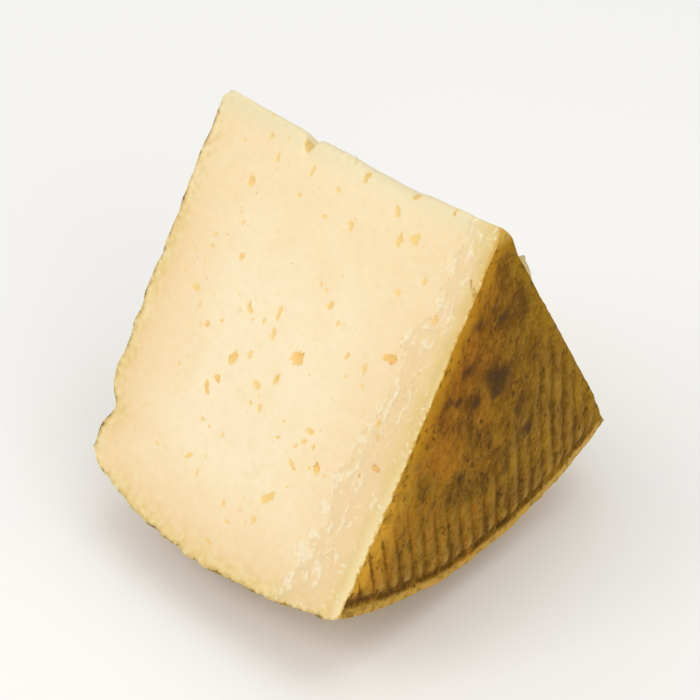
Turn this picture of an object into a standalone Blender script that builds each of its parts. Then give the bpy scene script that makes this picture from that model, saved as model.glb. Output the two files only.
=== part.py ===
"""A sixth of a wheel of aged, pressed sheep's milk cheese, standing on its rim with the tip edge up.

The wheel's axis is the tip edge. It is level and runs along X, so the two pressed faces look along +X
(near) and -X (far), the two knife cuts slope down to either side in Y, and the rim is the underside.
A point of the wheel has a radius from the axis and an angle from straight down, positive towards +Y.
"""

import math
import random
from collections import namedtuple

import bmesh
import bpy
from mathutils import Matrix, Vector, noise

# The wheel, in metres
WHEEL_HEIGHT = 0.0850
HALF_HEIGHT = WHEEL_HEIGHT / 2
RIM_RADIUS = 0.1054
RIM_WIDEST_AT = -0.0057  # the wheel sagged a little towards its far face
OUT_OF_ROUND = 0.0007  # and it is fullest half way between the cuts
EDGE_ROUNDING = 0.0012
WEDGE_ANGLE = math.radians(61.6)
HALF_ANGLE = WEDGE_ANGLE / 2

# Gentle unevenness: a height, the distance over which it changes, and a seed that gives it its own course
Waves = namedtuple("Waves", "height size seed")

# Where it rests: the rim is pressed flat this deep
REST_DEPTH = 0.0009
TIP_HEIGHT = RIM_RADIUS + OUT_OF_ROUND - REST_DEPTH

# A pressed face has a smooth border, a trough inside it, and the ridges of the pressing board
PressedFace = namedtuple(
    "PressedFace",
    "edge_radius swell dome trough_in trough_width trough_depth lean reach reach_gain chip wander lumps",
)
NEAR_FACE = PressedFace(
    edge_radius=0.0969,
    swell=1.05,
    dome=0.0004,
    trough_in=0.0062,
    trough_width=0.0022,
    trough_depth=0.0012,
    lean=0.148,
    reach=0.026,
    reach_gain=0.040,
    chip=0.0008,
    wander=Waves(0.0006, 0.025, 1),
    lumps=Waves(0.0003, 0.011, 11),
)
FAR_FACE = PressedFace(
    edge_radius=0.0978,
    swell=0.75,
    dome=0.0015,
    trough_in=0.0108,
    trough_width=0.0034,
    trough_depth=0.0016,
    lean=-0.10,
    reach=0.050,
    reach_gain=0.020,
    chip=0.0030,
    wander=Waves(0.0006, 0.025, 2),
    lumps=Waves(0.0003, 0.011, 12),
)
DOME_REACH = 0.060
RIDGE_SPACING = 0.0043
RIDGE_HEIGHT = 0.0010
RIDGE_LEVEL = 0.7
REACH_GAINED_AT = 0.030
CHIP_REACH = 0.0034

# The rim carries the print of a plaited grass band
PLAIT_BANDS = 8
PLAIT_SPACING = 0.0064
PLAIT_SLANT = 0.0058
PLAIT_HEIGHT = 0.0010
PLAIT_WANDER = Waves(0.0008, 0.012, 5)
PLAIN_BORDER = 0.0050
RIM_LUMPS = Waves(0.0004, 0.018, 3)

# The cuts
TIP_ROUNDING = 0.0013
TIP_ROUNDING_ENDS = 0.0003
TIP_WEAR = 0.0007
TIP_WEAR_AT = 0.0115
TIP_WEAR_LENGTH = 0.0090
TIP_RAGGED = Waves(0.25, 0.006, 8)  # here the height is a share of the rounding
SHOWN_CUT_WAVES = Waves(0.0002, 0.022, 19)
HIDDEN_CUT_WAVES = Waves(0.0002, 0.022, 21)
WAVES_START = 0.001
WAVES_FULL = 0.006
LEDGE_FROM_FACE = 0.0052
LEDGE_SLANT = 0.085
LEDGE_STEP = 0.0004
LEDGE_WIDTH = 0.0008
LEDGE_WANDER = Waves(0.0022, 0.007, 23)
CRUMB_RADIUS = 0.0200
CRUMB_FROM_FACE = 0.0022
CRUMB_SIZE = 0.0022
CRUMB_HEIGHT = 0.0019

# Eyes: small irregular holes that the knife opened
Eye = namedtuple("Eye", "x radius length width turn")
SHOWN_EYES = (
    Eye(0.0052, 0.0482, 0.0043, 0.0030, 20),
    Eye(0.0282, 0.0372, 0.0042, 0.0026, 65),
    Eye(0.0119, 0.0812, 0.0050, 0.0023, 30),
    Eye(-0.0118, 0.0566, 0.0042, 0.0024, 5),
    Eye(-0.0128, 0.0438, 0.0038, 0.0020, -30),
    Eye(-0.0160, 0.0660, 0.0042, 0.0018, -30),
    Eye(0.0218, 0.0684, 0.0040, 0.0026, 60),
    Eye(0.0192, 0.0127, 0.0040, 0.0018, 0),
    Eye(0.0229, 0.0113, 0.0030, 0.0024, 0),
    Eye(-0.0257, 0.0172, 0.0032, 0.0019, -20),
    Eye(0.0054, 0.0156, 0.0030, 0.0017, -40),
    Eye(0.0083, 0.0338, 0.0031, 0.0019, 35),
    Eye(0.0175, 0.0420, 0.0029, 0.0018, 30),
    Eye(-0.0041, 0.0412, 0.0038, 0.0013, 0),
    Eye(-0.0211, 0.0093, 0.0035, 0.0013, 0),
    Eye(0.0151, 0.0709, 0.0031, 0.0020, 75),
    Eye(-0.0298, 0.0466, 0.0031, 0.0022, 85),
    Eye(-0.0141, 0.0833, 0.0030, 0.0020, 15),
    Eye(-0.0027, 0.0592, 0.0026, 0.0019, 80),
    Eye(0.0119, 0.0365, 0.0032, 0.0014, 0),
    Eye(0.0232, 0.0424, 0.0030, 0.0016, -10),
    Eye(0.0022, 0.0552, 0.0026, 0.0018, 10),
    Eye(-0.0146, 0.0031, 0.0036, 0.0024, 30),
)
HIDDEN_EYE_COUNT = 26
HIDDEN_EYE_SIZES = (0.0022, 0.0042)
HIDDEN_EYE_SHAPES = (0.4, 0.7)
HIDDEN_EYE_X = (-0.034, 0.032)
HIDDEN_EYE_RADII = (0.010, 0.090)
EYES_APART = 0.006
EYE_TURN = 60
EYE_DEPTH = 0.8
EYE_LUMPS = Waves(0.25, 0.8, 5)  # a share of the eye's own size
EYE_SEED = 4

# How fine the solid is
BLOCK_CUTS = 119
BODY_TRIANGLES = 9000

NAME = "cheese_wedge"
PASTE_COLOUR = (0.85, 0.71, 0.46)
RIND_COLOUR = (0.33, 0.19, 0.05)


def smooth(value, low, high):
    """0 at low, 1 at high and an even curve between them."""
    t = min(max((value - low) / (high - low), 0.0), 1.0)
    return t * t * (3.0 - 2.0 * t)


def uneven(waves, a, b=0.0):
    """A smooth random height at a place on a surface."""
    return waves.height * noise.noise(Vector((a / waves.size, b / waves.size, 7.31 * waves.seed)))


def ridge(across, spacing):
    """Round ridges side by side: 0 in a valley and 1 on a crest."""
    return abs(math.sin(math.pi * across / spacing)) ** 1.3


def plait(x, arc):
    """The print of the plaited band: slanting strands that change direction from row to row."""
    row_height = WHEEL_HEIGHT / PLAIT_BANDS
    row, place = divmod((x + HALF_HEIGHT) / row_height, 1.0)
    slant = PLAIT_SLANT if row % 2 else -PLAIT_SLANT
    along = arc + slant * (place - 0.5) + uneven(PLAIT_WANDER, x, arc)
    strand = ridge(along, PLAIT_SPACING) * math.sin(math.pi * place) ** 0.5
    return strand * smooth(HALF_HEIGHT - abs(x), 0.0, PLAIN_BORDER)


def fullness(angle):
    """How much larger the wheel is here than at the cuts."""
    return OUT_OF_ROUND * math.cos(0.5 * math.pi * angle / HALF_ANGLE)


def rim_radius(x, angle):
    """The rim swells between its two edges and is widest a little off the middle."""
    near = x > RIM_WIDEST_AT
    face = NEAR_FACE if near else FAR_FACE
    reach = HALF_HEIGHT - RIM_WIDEST_AT if near else HALF_HEIGHT + RIM_WIDEST_AT
    swell = max(math.cos(0.5 * math.pi * (x - RIM_WIDEST_AT) / reach), 0.0) ** face.swell
    radius = face.edge_radius + (RIM_RADIUS - PLAIT_HEIGHT / 2 - face.edge_radius) * swell
    arc = angle * RIM_RADIUS
    radius += fullness(angle) + PLAIT_HEIGHT * (plait(x, arc) - 0.5) + uneven(RIM_LUMPS, x, arc)
    return radius - EDGE_ROUNDING * smooth(abs(x), HALF_HEIGHT - EDGE_ROUNDING, HALF_HEIGHT)


def face_height(face, radius, angle):
    """How far a pressed face stands from the wheel's middle plane."""
    across, down = radius * math.sin(angle), radius * math.cos(angle)
    inward = max(face.edge_radius + fullness(angle) - radius, 0.0)
    inside = smooth(inward, face.trough_in, face.trough_in + 2 * face.trough_width)
    trough = math.exp(-(((inward - face.trough_in) / face.trough_width) ** 2))
    reach = face.reach + face.reach_gain * smooth(across, 0.0, REACH_GAINED_AT)
    strength = inside * (1.0 - smooth(inward, 0.6 * reach, 1.3 * reach))
    line = across * math.cos(face.lean) - down * math.sin(face.lean) + uneven(face.wander, across, down)
    ridges = (ridge(line, RIDGE_SPACING) - RIDGE_LEVEL) * strength
    dome = face.dome * inside * (0.3 + 0.7 * smooth(radius, 0.0, DOME_REACH))
    height = HALF_HEIGHT + dome - face.trough_depth * trough + RIDGE_HEIGHT * ridges
    height += uneven(face.lumps, across, down)
    height -= EDGE_ROUNDING * (1.0 - smooth(inward, 0.0, EDGE_ROUNDING))
    return height - face.chip * (1.0 - smooth(radius, 0.0, CHIP_REACH)) ** 2


def tip_radius(x, angle):
    """Where the rounded tip edge starts: a round bar that touches both cuts from inside."""
    bar = TIP_ROUNDING_ENDS + (TIP_ROUNDING - TIP_ROUNDING_ENDS) * (1.0 - (x / HALF_HEIGHT) ** 2)
    bar += TIP_WEAR * math.exp(-(((x - TIP_WEAR_AT) / TIP_WEAR_LENGTH) ** 2))
    bar *= 1.0 + uneven(TIP_RAGGED, x)
    centre = bar / math.sin(HALF_ANGLE)
    hidden = max(bar ** 2 - (centre * math.sin(angle)) ** 2, 0.0)
    return centre * math.cos(angle) - math.sqrt(hidden)


def cut_height(x, radius, side):
    """How far a cut stands from its plane: long knife waves, and a ledge where the paste broke.

    Both die away at the thin tip edge, so that the two cuts never meet."""
    away = smooth(radius, WAVES_START, WAVES_FULL)
    if side < 0:
        ledge_at = HALF_HEIGHT - LEDGE_FROM_FACE - LEDGE_SLANT * radius + uneven(LEDGE_WANDER, radius)
        ledge = -LEDGE_STEP * smooth(x, ledge_at - LEDGE_WIDTH / 2, ledge_at + LEDGE_WIDTH / 2)
        return away * (ledge + uneven(SHOWN_CUT_WAVES, x, radius))
    crumb = (x - HALF_HEIGHT + CRUMB_FROM_FACE) ** 2 + (radius - CRUMB_RADIUS) ** 2
    return away * uneven(HIDDEN_CUT_WAVES, x, radius) + CRUMB_HEIGHT * math.exp(-crumb / CRUMB_SIZE ** 2)


def wheel_point(x, radius, angle):
    return Vector((x, radius * math.sin(angle), TIP_HEIGHT - radius * math.cos(angle)))


def cut_normal(side):
    return Vector((0.0, side * math.cos(HALF_ANGLE), math.sin(HALF_ANGLE)))


def wedge_point(u, v, w):
    """Bends a block into the wedge: u runs from far face to near face, v across the angle, w outwards."""
    angle = v * HALF_ANGLE
    level_x = u * HALF_HEIGHT
    inner = tip_radius(level_x, angle)
    radius = inner + (rim_radius(level_x, angle) - inner) * (w + 1) / 2
    far = -face_height(FAR_FACE, radius, angle)
    near = face_height(NEAR_FACE, radius, angle)
    x = far + (near - far) * (u + 1) / 2
    point = wheel_point(x, radius, angle)
    if abs(v) > 0.9999:
        side = math.copysign(1.0, v)
        point += cut_normal(side) * cut_height(x, radius, side)
    return point


def new_material(name, colour, roughness):
    material = bpy.data.materials.new(name)
    material.use_nodes = True
    shader = material.node_tree.nodes["Principled BSDF"]
    shader.inputs["Base Color"].default_value = (*colour, 1.0)
    shader.inputs["Roughness"].default_value = roughness
    shader.inputs["Metallic"].default_value = 0.0
    return material


def face_outwards(bm):
    bm.normal_update()
    bmesh.ops.recalc_face_normals(bm, faces=bm.faces[:])


def new_object(name, bm, collection):
    mesh = bpy.data.meshes.new(name)
    bm.to_mesh(mesh)
    bm.free()
    obj = bpy.data.objects.new(name, mesh)
    collection.objects.link(obj)
    return obj


def make_body(collection):
    """The wedge without its eyes: a cube cut into a fine grid, each point moved to its place."""
    bm = bmesh.new()
    bmesh.ops.create_cube(bm, size=2.0)
    bmesh.ops.subdivide_edges(bm, edges=bm.edges[:], cuts=BLOCK_CUTS, use_grid_fill=True)
    for face in bm.faces:
        middle = face.calc_center_median()
        face.material_index = 1 if abs(middle.x) > 0.9999 or middle.z > 0.9999 else 0
    for vertex in bm.verts:
        vertex.co = wedge_point(*vertex.co)
    face_outwards(bm)
    bmesh.ops.triangulate(bm, faces=bm.faces[:])
    triangles = len(bm.faces)
    body = new_object(NAME, bm, collection)
    thin = body.modifiers.new("fewer_faces", "DECIMATE")
    thin.ratio = BODY_TRIANGLES / triangles
    return body


def make_rest_cutter(collection):
    """The block below the level that the wedge rests on."""
    bm = bmesh.new()
    bmesh.ops.create_cube(bm, size=2 * WHEEL_HEIGHT)
    bmesh.ops.translate(bm, verts=bm.verts[:], vec=(0.0, 0.0, -WHEEL_HEIGHT))
    return new_object("rest_cutter", bm, collection)


def make_eye(eye, side, number, collection):
    """One eye: a lumpy ellipsoid whose middle lies near the cut."""
    angle = side * HALF_ANGLE
    inward = -cut_normal(side)
    outward_radius = Vector((0.0, math.sin(angle), -math.cos(angle)))
    axes = Matrix((Vector((1.0, 0.0, 0.0)), outward_radius, inward)).transposed()
    turned = axes @ Matrix.Rotation(math.radians(eye.turn), 3, "Z")
    depth = EYE_DEPTH * eye.width
    bm = bmesh.new()
    bmesh.ops.create_icosphere(bm, subdivisions=1, radius=1.0)
    for vertex in bm.verts:
        lump = 1.0 + uneven(EYE_LUMPS, vertex.co.x + 3 * number, vertex.co.y + vertex.co.z)
        vertex.co.x *= lump * eye.width / 2
        vertex.co.y *= lump * eye.length / 2
        vertex.co.z *= lump * depth
        vertex.co = turned @ vertex.co + wheel_point(eye.x, eye.radius, angle)
    face_outwards(bm)
    return new_object(f"eye_{number:02d}", bm, collection)


def hidden_eyes(rng):
    """Eyes of the second cut, spread by a seeded draw that keeps them apart and clear of the rind."""
    found = []
    while len(found) < HIDDEN_EYE_COUNT:
        x = rng.uniform(*HIDDEN_EYE_X)
        radius = rng.uniform(*HIDDEN_EYE_RADII)
        length = rng.uniform(*HIDDEN_EYE_SIZES)
        width = length * rng.uniform(*HIDDEN_EYE_SHAPES)
        eye = Eye(x, radius, length, width, rng.uniform(-EYE_TURN, EYE_TURN))
        if all(math.hypot(x - other.x, radius - other.radius) > EYES_APART for other in found):
            found.append(eye)
    return found


def centre(body, cutters):
    """Puts the middle of the wedge's height over the origin, with its cutters."""
    across = [vertex.co.x for vertex in body.data.vertices]
    for obj in (body, *cutters):
        obj.location.x = -(min(across) + max(across)) / 2


def cut_by(body, name, collection):
    cut = body.modifiers.new(name, "BOOLEAN")
    cut.operation = "DIFFERENCE"
    cut.operand_type = "COLLECTION"
    cut.collection = collection
    for cutter in collection.objects:
        cutter.hide_render = True
        cutter.display_type = "WIRE"


def new_collection(name):
    collection = bpy.data.collections.new(name)
    bpy.context.scene.collection.children.link(collection)
    return collection


def main():
    for obj in list(bpy.data.objects):
        bpy.data.objects.remove(obj)
    parts = new_collection("aged_cheese_wedge")
    rest_cutters = new_collection("rest_cutters")
    eye_cutters = new_collection("eye_cutters")
    body = make_body(parts)
    body.data.materials.append(new_material("cheese_paste", PASTE_COLOUR, 0.5))
    body.data.materials.append(new_material("washed_rind", RIND_COLOUR, 0.6))
    make_rest_cutter(rest_cutters)
    eyes = [(eye, -1) for eye in SHOWN_EYES] + [(eye, 1) for eye in hidden_eyes(random.Random(EYE_SEED))]
    for number, (eye, side) in enumerate(eyes):
        make_eye(eye, side, number, eye_cutters)
    centre(body, eye_cutters.objects)
    cut_by(body, "rest", rest_cutters)
    cut_by(body, "eyes", eye_cutters)
    body.data.shade_smooth()
    body.data.set_sharp_from_angle(angle=math.radians(35))


main()
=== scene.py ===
# %% [markdown]
# # A wedge of aged sheep's milk cheese
#
# The real object is one piece: a sixth of a pressed wheel, cut out with two strokes of a knife. It
# stands on the curved rim of the wheel with its thin tip edge on top, so both knife cuts slope down
# from the tip like a roof. Inside is a firm cream paste with small eyes. Outside is a brown washed
# rind that keeps the print of the board it was pressed on.
#
# The construction model already has the true size and form. This script makes the surface that the
# eye looks at: the same form again on a much finer grid, with torn curd, ragged eyes, pits and
# crumbs, and two materials. It works in metres, with +Z up, in the frame of the construction model.

import math
import random
from collections import namedtuple

import bpy
import numpy as np
from mathutils import Matrix, Vector, noise


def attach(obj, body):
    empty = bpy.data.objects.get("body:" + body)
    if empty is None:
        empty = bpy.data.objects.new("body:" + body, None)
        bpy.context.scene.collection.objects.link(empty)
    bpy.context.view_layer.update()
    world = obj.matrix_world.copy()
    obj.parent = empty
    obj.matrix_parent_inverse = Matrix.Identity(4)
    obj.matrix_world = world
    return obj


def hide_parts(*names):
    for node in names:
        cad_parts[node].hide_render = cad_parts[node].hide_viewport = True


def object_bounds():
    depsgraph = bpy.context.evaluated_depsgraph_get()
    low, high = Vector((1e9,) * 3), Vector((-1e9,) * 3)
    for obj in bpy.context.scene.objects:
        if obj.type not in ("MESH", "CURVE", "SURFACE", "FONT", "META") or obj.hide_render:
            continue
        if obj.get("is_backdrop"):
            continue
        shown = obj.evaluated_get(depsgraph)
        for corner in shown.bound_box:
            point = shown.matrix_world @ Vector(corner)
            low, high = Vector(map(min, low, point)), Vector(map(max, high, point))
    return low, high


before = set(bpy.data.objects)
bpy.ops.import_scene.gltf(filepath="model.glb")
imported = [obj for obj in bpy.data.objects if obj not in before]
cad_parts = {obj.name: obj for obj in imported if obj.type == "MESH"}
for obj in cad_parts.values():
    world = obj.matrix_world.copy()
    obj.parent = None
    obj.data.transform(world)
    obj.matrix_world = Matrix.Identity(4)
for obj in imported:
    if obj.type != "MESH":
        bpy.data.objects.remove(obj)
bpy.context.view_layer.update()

# %% [markdown]
# ## The wheel
#
# A point of a wheel is easy to name: how far along the axis it lies (x), how far out from it
# (radius), and at what angle. The wheel's axis is the wedge's tip edge. It runs along X, level, and
# the angle is counted from straight down. The same few sizes as in the construction model give the
# wheel, its two pressed faces, its rim and the knife cuts, so the fine surface falls on the plain
# one.

# %% Sizes of the wheel
MM = 0.001
WHEEL_HEIGHT = 85.0 * MM
HALF_HEIGHT = WHEEL_HEIGHT / 2
RIM_RADIUS = 105.4 * MM
RIM_WIDEST_AT = -5.7 * MM
OUT_OF_ROUND = 0.7 * MM
EDGE_ROUNDING = 1.2 * MM
HALF_ANGLE = math.radians(61.6) / 2
REST_DEPTH = 0.9 * MM
TIP_HEIGHT = RIM_RADIUS + OUT_OF_ROUND - REST_DEPTH

# A gentle unevenness: its height, the distance over which it changes, and a seed for its own course
Waves = namedtuple("Waves", "height size seed")

PressedFace = namedtuple(
    "PressedFace",
    "edge_radius swell dome trough_in trough_width trough_depth lean reach reach_gain"
    " chip wander lumps flakes",
)
NEAR_FACE = PressedFace(
    edge_radius=96.9 * MM,
    swell=1.05,
    dome=0.4 * MM,
    trough_in=5.6 * MM,
    trough_width=1.8 * MM,
    trough_depth=0.5 * MM,
    lean=0.148,
    reach=26 * MM,
    reach_gain=40 * MM,
    chip=0.8 * MM,
    wander=Waves(0.6 * MM, 25 * MM, 1),
    lumps=Waves(0.3 * MM, 11 * MM, 11),
    flakes=Waves(0.20 * MM, 2.4 * MM, 31),
)
FAR_FACE = PressedFace(
    edge_radius=97.2 * MM,
    swell=0.75,
    dome=1.5 * MM,
    trough_in=13.4 * MM,
    trough_width=3.2 * MM,
    trough_depth=3.0 * MM,
    lean=-0.10,
    reach=50 * MM,
    reach_gain=20 * MM,
    chip=3.0 * MM,
    wander=Waves(0.6 * MM, 25 * MM, 2),
    lumps=Waves(0.3 * MM, 11 * MM, 12),
    flakes=Waves(0.85 * MM, 4.4 * MM, 32),
)
DOME_AT_TIP = 0.3
DOME_REACH = 60 * MM
RIDGE_SPACING = 4.3 * MM
RIDGE_OFFSET = 2.0 * MM
RIDGE_HEIGHT = 0.36 * MM
RIDGE_LEVEL = 0.6
RIDGE_SHARPNESS = 1.3
REACH_GAINED_AT = 30 * MM
CUT_WEAR = 4.0 * MM
PRINT_AT_CUT = 0.6
TROUGH_AT_CUT = 0.3
EDGE_WAVES = Waves(0.6 * MM, 8 * MM, 14)
CHIP_REACH = 3.4 * MM
degrees = round(math.degrees(2 * HALF_ANGLE), 1)
print("wedge of", degrees, "degrees, tip at", round(TIP_HEIGHT / MM, 1), "mm")


# %% Helpers for shapes that change smoothly
def smooth(value, low, high, least=0.0):
    """0 (or the least that is given) at low, 1 at high and an even curve between them."""
    t = min(max((value - low) / (high - low), 0.0), 1.0)
    return least + (1.0 - least) * (t * t * (3.0 - 2.0 * t))


def bell(value, width):
    """1 where the value is 0, and falling away to both sides."""
    return math.exp(-((value / width) ** 2))


def from_cut(radius, angle):
    """How far a place lies from the nearer cut, and 0 on it."""
    return radius * math.sin(max(HALF_ANGLE - abs(angle), 0.0))


def ellipse(across, along, length, width, turn):
    """How far out a place lies in a turned ellipse: 0 in its middle and 1 on its edge."""
    long_way = (along * np.cos(turn) - across * np.sin(turn)) / (length / 2)
    short_way = (across * np.cos(turn) + along * np.sin(turn)) / (width / 2)
    return np.hypot(long_way, short_way)


def uneven(waves, a, b=0.0):
    """A smooth random height at a place on a surface, the same each time."""
    return waves.height * noise.noise(Vector((a / waves.size, b / waves.size, 7.31 * waves.seed)))


print("unevenness at one place, mm:", round(uneven(NEAR_FACE.lumps, 0.01, 0.02) / MM, 3))

# %% [markdown]
# ## The pressed faces and the rim
#
# The wheel was pressed between grooved boards inside a plaited band. A board leaves straight, broad
# ridges with narrow valleys; they are sharpest near the rim, and worn in the middle. Inside the
# wheel's edge runs a trough, and outside it a smooth lip. The band leaves slanting strands that
# change direction from row to row.
#
# Such relief could be a bump texture, but its outline shows where the knife cut through it, so here
# it is part of the shape: each function gives a height at a place, and the grid of the body is
# moved by it.


# %% Height of a pressed face
def board_print(face, radius, angle):
    """Where a place lies in the board's print: how far inside the wheel's edge, how far across
    the ridges (counted in ridges) and how strong they are there."""
    across, down = radius * math.sin(angle), radius * math.cos(angle)
    inward = face.edge_radius + fullness(angle) - radius
    width = face.trough_width
    inside = smooth(inward, face.trough_in - 0.2 * width, face.trough_in + 1.1 * width)
    reach = face.reach + face.reach_gain * smooth(across, 0.0, REACH_GAINED_AT)
    strength = inside * (1.0 - smooth(inward, 0.5 * reach, 1.3 * reach))
    strength *= smooth(from_cut(radius, angle), 0.0, CUT_WEAR, PRINT_AT_CUT)
    line = across * math.cos(face.lean) - down * math.sin(face.lean) - RIDGE_OFFSET
    return inward, (line + uneven(face.wander, across, down)) / RIDGE_SPACING, strength


def ridge(line):
    """Broad round ridges side by side: 0 in a valley and 1 on a crest."""
    return abs(math.sin(math.pi * line)) ** RIDGE_SHARPNESS


def face_height(face, radius, angle):
    """How far a pressed face stands from the wheel's middle plane."""
    across, down = radius * math.sin(angle), radius * math.cos(angle)
    inward, line, strength = board_print(face, radius, angle)
    inside = smooth(inward, face.trough_in, face.trough_in + 2 * face.trough_width)
    dome = face.dome * inside * smooth(radius, 0.0, DOME_REACH, DOME_AT_TIP)
    trough = face.trough_depth * bell(max(inward, 0.0) - face.trough_in, face.trough_width)
    if face is NEAR_FACE:
        trough *= smooth(from_cut(radius, angle), 0.0, 2 * CUT_WEAR, TROUGH_AT_CUT)
    height = HALF_HEIGHT + dome - trough + RIDGE_HEIGHT * strength * (ridge(line) - RIDGE_LEVEL)
    height += uneven(face.lumps, across, down) + uneven(face.flakes, across, down)
    height -= EDGE_ROUNDING * (1.0 - smooth(inward, 0.0, EDGE_ROUNDING))
    return height - face.chip * (1.0 - smooth(radius, 0.0, CHIP_REACH)) ** 2


def fullness(angle):
    """How much larger the wheel is here than at the cuts. Its edge wanders a little on top of that."""
    larger = OUT_OF_ROUND * math.cos(0.5 * math.pi * angle / HALF_ANGLE)
    return larger + uneven(EDGE_WAVES, angle * RIM_RADIUS)


for where in (30, 60, 85):
    height = face_height(NEAR_FACE, where * MM, 0.2) / MM
    print("near face", where, "mm from the tip stands", round(height, 2), "mm from the middle")

# %% Radius of the rim, with the print of the plaited band
PLAIT_BANDS = 8
PLAIT_SPACING = 6.4 * MM
PLAIT_SLANT = 5.8 * MM
PLAIT_HEIGHT = 1.0 * MM
PLAIT_WANDER = Waves(0.8 * MM, 12 * MM, 5)
PLAIN_BORDER = 5.0 * MM
RIM_LUMPS = Waves(0.4 * MM, 18 * MM, 3)
RIM_FLAKES = Waves(0.22 * MM, 2.8 * MM, 33)


def plait(x, arc):
    """The print of the band: 1 on a strand and 0 between the strands."""
    row, place = divmod((x + HALF_HEIGHT) / (WHEEL_HEIGHT / PLAIT_BANDS), 1.0)
    slant = PLAIT_SLANT if row % 2 else -PLAIT_SLANT
    along = arc + slant * (place - 0.5) + uneven(PLAIT_WANDER, x, arc)
    strand = ridge(along / PLAIT_SPACING) * math.sin(math.pi * place) ** 0.5
    return strand * smooth(HALF_HEIGHT - abs(x), 0.0, PLAIN_BORDER)


def rim_radius(x, angle):
    """The rim swells between its two edges and is widest a little off the middle."""
    near = x > RIM_WIDEST_AT
    face = NEAR_FACE if near else FAR_FACE
    reach = HALF_HEIGHT - RIM_WIDEST_AT if near else HALF_HEIGHT + RIM_WIDEST_AT
    swell = max(math.cos(0.5 * math.pi * (x - RIM_WIDEST_AT) / reach), 0.0) ** face.swell
    radius = face.edge_radius + (RIM_RADIUS - PLAIT_HEIGHT / 2 - face.edge_radius) * swell
    arc = angle * RIM_RADIUS
    radius += fullness(angle) + PLAIT_HEIGHT * (plait(x, arc) - 0.5)
    radius += uneven(RIM_LUMPS, x, arc) + uneven(RIM_FLAKES, x, arc)
    return radius - EDGE_ROUNDING * smooth(abs(x), HALF_HEIGHT - EDGE_ROUNDING, HALF_HEIGHT)


print("rim radius half way, mm:", round(rim_radius(0.0, 0.0) / MM, 2))

# %% [markdown]
# ## The knife cuts
#
# A knife leaves long shallow waves in firm curd. The tip edge isn't sharp: the paste there is soft
# and rubbed round. On the cut that shows, the blade pushed a strip of paste off along the near
# rind. It left a torn edge that wanders down the face, with a few broad pale chips of curd that
# stand up along it. On the hidden cut one flake of dried curd stands up at the edge near the tip,
# where its outline shows.
#
# The tear follows a short listed path: how far it lies from the near face at a few distances
# from the tip. The layers that it tore into are added further on, by nodes.

# %% Rounding of the tip edge, and the torn strip
TIP_ROUNDING = 1.9 * MM
TIP_ROUNDING_ENDS = 0.3 * MM
TIP_WEAR = 1.2 * MM
TIP_WEAR_AT = 11.5 * MM
TIP_WEAR_LENGTH = 9.0 * MM
TIP_NOTCH = 2.0 * MM
TIP_NOTCH_AT = -13.8 * MM
TIP_NOTCH_WIDTH = 1.6 * MM
TIP_RAGGED = Waves(0.22, 6 * MM, 8)
TIP_CRUMBLED = Waves(0.35, 1.1 * MM, 9)
TIP_CRUMBLED_AT = -1.6 * MM
TIP_CRUMBLED_LENGTH = 6.0 * MM
CUT_WAVES = Waves(0.2 * MM, 22 * MM, 19)
WAVES_START = 1.0 * MM
WAVES_FULL = 6.0 * MM

# (distance from the tip edge, distance from the near face), in mm
STEP_PATH = (
    (0, 6.5), (8, 7.6), (16, 8.6), (23, 7.6), (29, 11.0), (33, 11.9), (41, 10.5), (48, 11.0), (57, 12.9),
    (68, 14.8), (76, 13.8), (85, 14.3), (91, 15.3), (98, 16.7), (106, 17.5),
)
Chip = namedtuple("Chip", "x radius length width turn")
CHIPS = (
    Chip(27.9, 67.7, 4.0, 3.4, 0), Chip(27.9, 82.0, 3.4, 2.8, 35), Chip(27.5, 75.5, 3.6, 3.0, -20),
    Chip(26.8, 87.3, 5.2, 4.2, 25), Chip(26.4, 95.4, 3.2, 2.4, 30), Chip(25.7, 98.2, 2.2, 1.6, -30),
    Chip(29.2, 57.4, 4.2, 2.2, 20), Chip(38.0, 66.0, 1.6, 0.8, -50), Chip(39.4, 67.0, 1.8, 0.9, 20),
    Chip(40.8, 67.8, 1.5, 0.9, -60), Chip(38.7, 68.6, 1.2, 0.7, 0), Chip(35.5, 75.3, 4.2, 0.9, 15),
    Chip(34.6, 78.0, 2.4, 0.8, 30), Chip(35.6, 83.4, 2.2, 1.4, -20), Chip(36.4, 72.4, 1.8, 0.8, -30),
)
CHIP_HEIGHT = 0.16 * MM
CHIP_RAGGED = Waves(1.1, 1.1 * MM, 25)
CHIP_EDGE = (0.6, 1.2)  # in half sizes of a chip: up to where it is whole, and where it ends


def tip_radius(x, angle):
    """Where the rounded tip edge starts: a round bar that touches both cuts from inside."""
    bar = TIP_ROUNDING_ENDS + (TIP_ROUNDING - TIP_ROUNDING_ENDS) * (1.0 - (x / HALF_HEIGHT) ** 2)
    bar += TIP_WEAR * bell(x - TIP_WEAR_AT, TIP_WEAR_LENGTH)
    bar += TIP_NOTCH * bell(x - TIP_NOTCH_AT, TIP_NOTCH_WIDTH)
    bar *= 1.0 + uneven(TIP_RAGGED, x)
    bar *= 1.0 + uneven(TIP_CRUMBLED, x, angle * MM) * bell(x - TIP_CRUMBLED_AT, TIP_CRUMBLED_LENGTH)
    centre = bar / math.sin(HALF_ANGLE)
    return centre * math.cos(angle) - math.sqrt(max(bar ** 2 - (centre * math.sin(angle)) ** 2, 0.0))


def past_tear(x, radius):
    """How far a place on the shown cut lies past the tear, towards the near rind."""
    return x - HALF_HEIGHT + float(np.interp(radius / MM, *zip(*STEP_PATH))) * MM


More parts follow.
